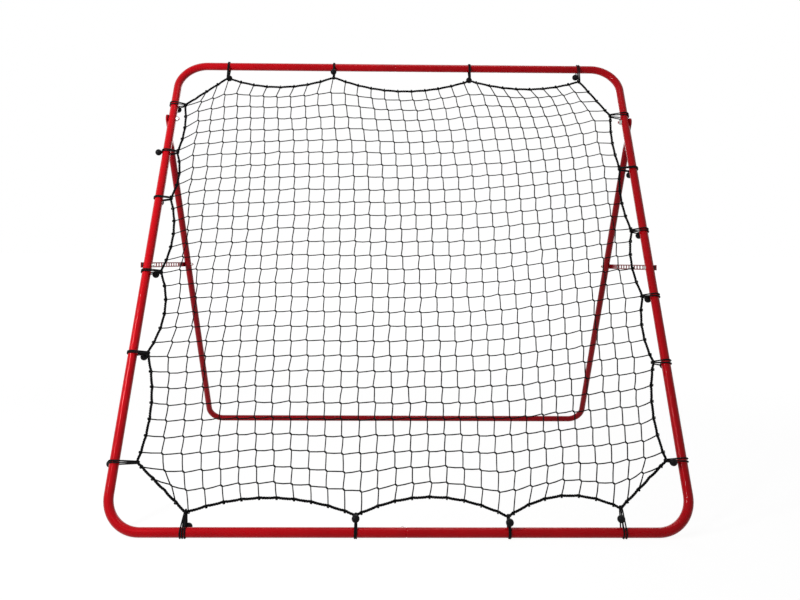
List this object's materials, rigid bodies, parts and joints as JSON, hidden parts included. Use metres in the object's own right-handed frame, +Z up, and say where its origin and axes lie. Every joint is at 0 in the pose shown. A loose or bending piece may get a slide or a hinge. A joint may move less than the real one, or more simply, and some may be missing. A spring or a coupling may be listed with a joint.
{
  "type": "pitch back rebounder",
  "caption": "Leaning square tube frame with a rope-edged net held by elastic ball ties, on a folding rear stand with two perforated struts.",
  "frame": {"origin": "on the ground, in the middle of the object's footprint box", "axes": "+Z up, +Y from the player's side towards the rear stand, +X to the right as the player sees it"},
  "size_m": [1.5402, 1.2337, 1.3389],
  "materials": {
    "frame_paint": "glossy bright red powder coat with a fine orange peel",
    "stand_paint": "glossy deep red powder coat",
    "strut_paint": "semi-gloss dark red powder coat",
    "bolt_head_paint": "red painted low domed heads",
    "zinc_hardware": "bright zinc plate",
    "snap_button": "bright zinc plate, worn smooth",
    "spring_steel": "dark spring steel",
    "spacer_plastic": "black moulded plastic",
    "net_twine": "black twisted twine with small knots",
    "border_rope": "black three-strand rope",
    "elastic_cord": "black braided elastic cord",
    "ball_plastic": "black moulded plastic"
  },
  "bodies": {
    "front_frame": {"frame_top_left": "frame_paint", "frame_top_right": "frame_paint", "frame_bottom_left": "frame_paint", "frame_bottom_right": "frame_paint", "top_snap_spring": "spring_steel", "bottom_snap_spring": "spring_steel", "pivot_bolts": "bolt_head_paint", "pivot_washers": "zinc_hardware", "pivot_nuts": "zinc_hardware", "strut_spacers": "spacer_plastic", "strut_studs": "zinc_hardware", "strut_front_nuts": "zinc_hardware", "border_rope": "border_rope", "net": "net_twine", "ties_top": "elastic_cord", "ties_right": "elastic_cord", "ties_bottom": "elastic_cord", "ties_left": "elastic_cord", "tie_balls_top": "ball_plastic", "tie_balls_right": "ball_plastic", "tie_balls_bottom": "ball_plastic", "tie_balls_left": "ball_plastic"},
    "top_button": {"top_snap_button": "snap_button"},
    "bottom_button": {"bottom_snap_button": "snap_button"},
    "rear_stand": {"stand_left": "stand_paint", "stand_right": "stand_paint", "stand_snap_spring": "spring_steel", "strut_rear_bolts": "bolt_head_paint", "strut_rear_nuts": "zinc_hardware"},
    "stand_button": {"stand_snap_button": "snap_button"},
    "left_strut": {"strut_left": "strut_paint", "strut_screw_left": "bolt_head_paint"},
    "right_strut": {"strut_right": "strut_paint", "strut_screw_right": "bolt_head_paint"}
  },
  "joints": [
    {"name": "stand_fold", "type": "hinge", "parent": "front_frame", "child": "rear_stand", "pos_m": [0, -0.02023, 1.12949], "axis": [1, 0, 0], "range_deg": [-38, 0]},
    {"name": "left_strut_swing", "type": "hinge", "parent": "rear_stand", "child": "left_strut", "pos_m": [0, 0.24859, 0.64851], "axis": [1, 0, 0], "range_deg": [0, 88]},
    {"name": "right_strut_swing", "type": "hinge", "parent": "rear_stand", "child": "right_strut", "pos_m": [0, 0.24859, 0.64851], "axis": [1, 0, 0], "range_deg": [0, 88]},
    {"name": "top_button_press", "type": "slide", "parent": "front_frame", "child": "top_button", "axis": [0, -0.8886, 0.4586], "range_m": [0, 0.0044], "stiffness_N_per_m": 1500, "springref_m": -0.003},
    {"name": "bottom_button_press", "type": "slide", "parent": "front_frame", "child": "bottom_button", "axis": [0, -0.4586, -0.8886], "range_m": [0, 0.0044], "stiffness_N_per_m": 1500, "springref_m": -0.003},
    {"name": "stand_button_press", "type": "slide", "parent": "rear_stand", "child": "stand_button", "axis": [0, -0.8729, -0.4879], "range_m": [0, 0.0044], "stiffness_N_per_m": 1500, "springref_m": -0.003}
  ],
  "couplings": [
    {"joint": "left_strut_swing", "follows": "stand_fold", "ratio": -2.3},
    {"joint": "right_strut_swing", "follows": "stand_fold", "ratio": -2.3}
  ]
}
